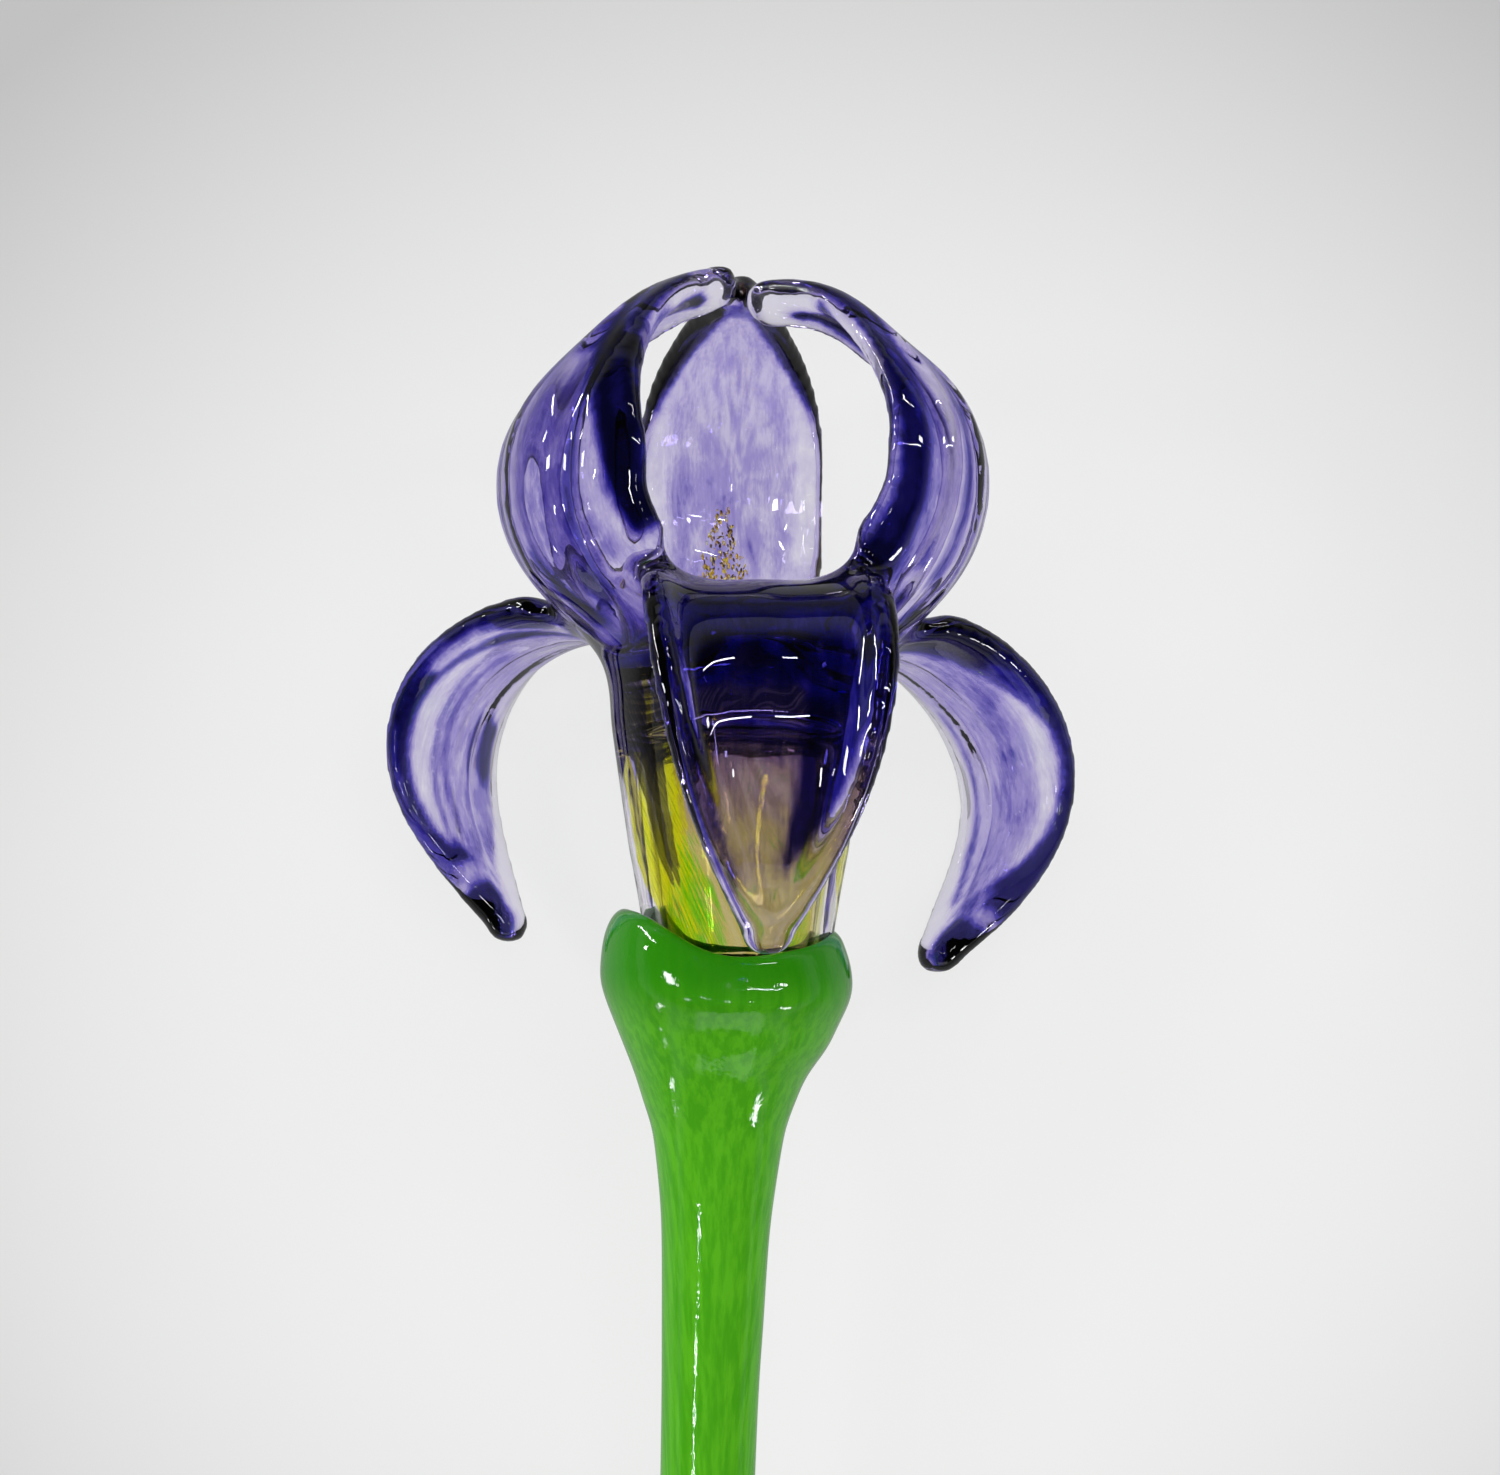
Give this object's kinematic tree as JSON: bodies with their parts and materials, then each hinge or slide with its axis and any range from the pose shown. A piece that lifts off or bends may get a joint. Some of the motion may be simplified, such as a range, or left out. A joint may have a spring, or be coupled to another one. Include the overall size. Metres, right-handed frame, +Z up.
{
  "type": "glass iris flower",
  "caption": "Hand-blown glass iris on a long green stem, lying on its back: upright petals curve in over a throat tube, and arched petals hang beside it.",
  "frame": {"origin": "centre of the flower's bounding box, on the surface that it lies on", "axes": "+Z up from that surface, +Y along the stem towards the top of the bloom, +X to the flower's right as seen from above"},
  "size_m": [0.1056, 0.3572, 0.0957],
  "materials": {
    "green_glass": "glossy, cloudy green glass",
    "streaked_clear_glass": "clear glass with yellow and green streaks",
    "violet_glass": "glossy lilac to indigo glass with fine lengthwise streaks"
  },
  "bodies": {
    "root": {"stem": "green_glass", "throat_tube": "streaked_clear_glass", "fall_front": "violet_glass", "fall_left": "violet_glass", "fall_right": "violet_glass", "standard_left": "violet_glass", "standard_right": "violet_glass", "standard_back": "violet_glass"}
  },
  "joints": []
}
